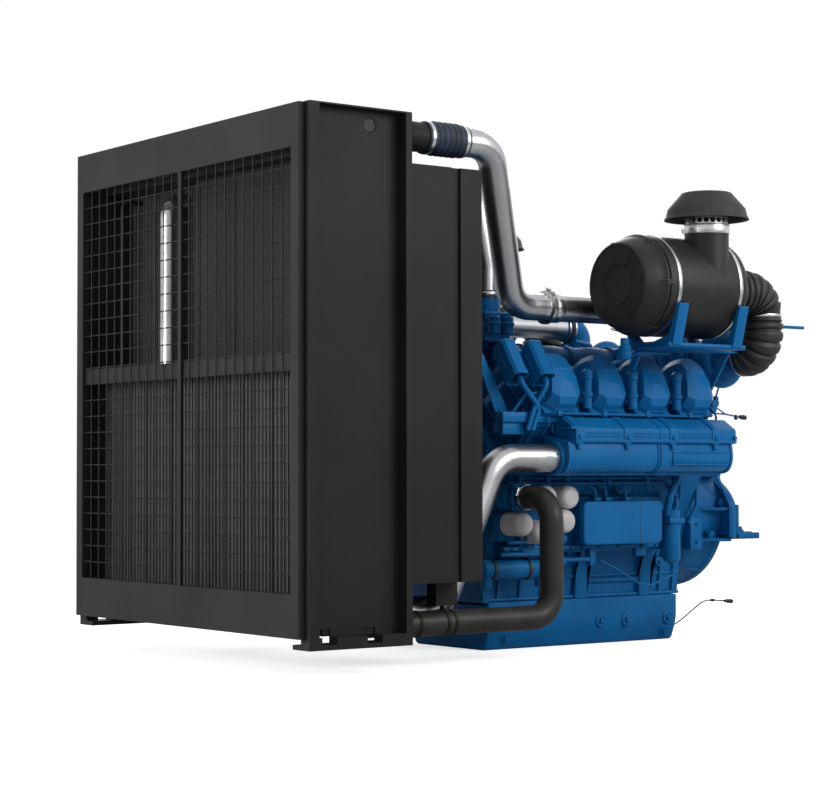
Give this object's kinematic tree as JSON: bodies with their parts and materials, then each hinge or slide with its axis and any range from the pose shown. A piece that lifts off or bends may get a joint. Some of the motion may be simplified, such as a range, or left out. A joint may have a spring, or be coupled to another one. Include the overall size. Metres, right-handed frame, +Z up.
{
  "type": "radiator-cooled v8 generator-set engine",
  "caption": "Drive engine of a generator set: vee diesel with twin air cleaners, turbochargers, charge-air pipes and a front radiator package with fan and guard; no alternator",
  "frame": {"origin": "on the oil pan's underside, under the crankshaft's line and halfway along the whole set", "axes": "+X from the radiator to the flywheel, +Y to the engine's left side, +Z up"},
  "size_m": [2.775, 1.981, 2.096],
  "materials": {
    "black_paint": "satin",
    "core_fins": "matte",
    "baffle_sheet": "satin",
    "polished_steel": "polished",
    "fan_casting": "matte",
    "black_rubber": "matte",
    "navy_silicone": "matte",
    "black_plastic": "matte",
    "exhaust_casting": "matte",
    "bare_iron": "satin",
    "pale_can_paint": "gloss",
    "bare_aluminium": "satin",
    "blue_paint": "satin"
  },
  "bodies": {
    "root": {"guard_frame": "black_paint", "guard_mesh_right": "black_paint", "guard_mesh_left": "black_paint", "guard_rail": "black_paint", "side_frame_right": "black_paint", "side_frame_left": "black_paint", "radiator_feet": "black_paint", "header_tank": "black_paint", "bottom_tank": "black_paint", "lower_core": "core_fins", "upper_core": "core_fins", "cooler_baffle": "baffle_sheet", "core_pipes": "polished_steel", "fan_shroud": "black_paint", "fan": "fan_casting", "fan_drive": "blue_paint", "drive_belts": "black_rubber", "charge_hoses": "navy_silicone", "upper_charge_pipe_right": "polished_steel", "upper_charge_pipe_left": "polished_steel", "lower_charge_pipe_right": "polished_steel", "lower_charge_pipe_left": "polished_steel", "lower_coolant_hose": "black_rubber", "hose_hanger": "black_paint", "upper_coolant_pipe": "polished_steel", "coolant_pump": "blue_paint", "thermostat_housing": "blue_paint", "oil_pan": "blue_paint", "crankcase": "blue_paint", "gear_case": "blue_paint", "crank_pulley": "black_paint", "cylinder_heads_right": "blue_paint", "cylinder_heads_left": "blue_paint", "rocker_covers_right": "blue_paint", "rocker_covers_left": "blue_paint", "breather_boxes": "blue_paint", "intake_manifold_right": "blue_paint", "intake_manifold_left": "blue_paint", "exhaust_manifold_right": "exhaust_casting", "exhaust_manifold_left": "exhaust_casting", "turbocharger_right": "blue_paint", "turbocharger_left": "blue_paint", "air_cleaner_right": "black_plastic", "air_cleaner_left": "black_plastic", "cleaner_bracket_right": "blue_paint", "cleaner_bracket_left": "blue_paint", "intake_elbow_right": "black_rubber", "intake_elbow_left": "black_rubber", "rain_cap_right": "black_plastic", "rain_cap_left": "black_plastic", "flywheel_housing": "blue_paint", "flywheel": "bare_iron", "rear_feet": "blue_paint", "fuel_filters": "pale_can_paint", "oil_filter": "blue_paint", "control_box": "blue_paint", "oil_cooler": "blue_paint", "starter": "black_paint", "alternator": "bare_aluminium", "sensor_probe": "blue_paint"}
  },
  "joints": []
}
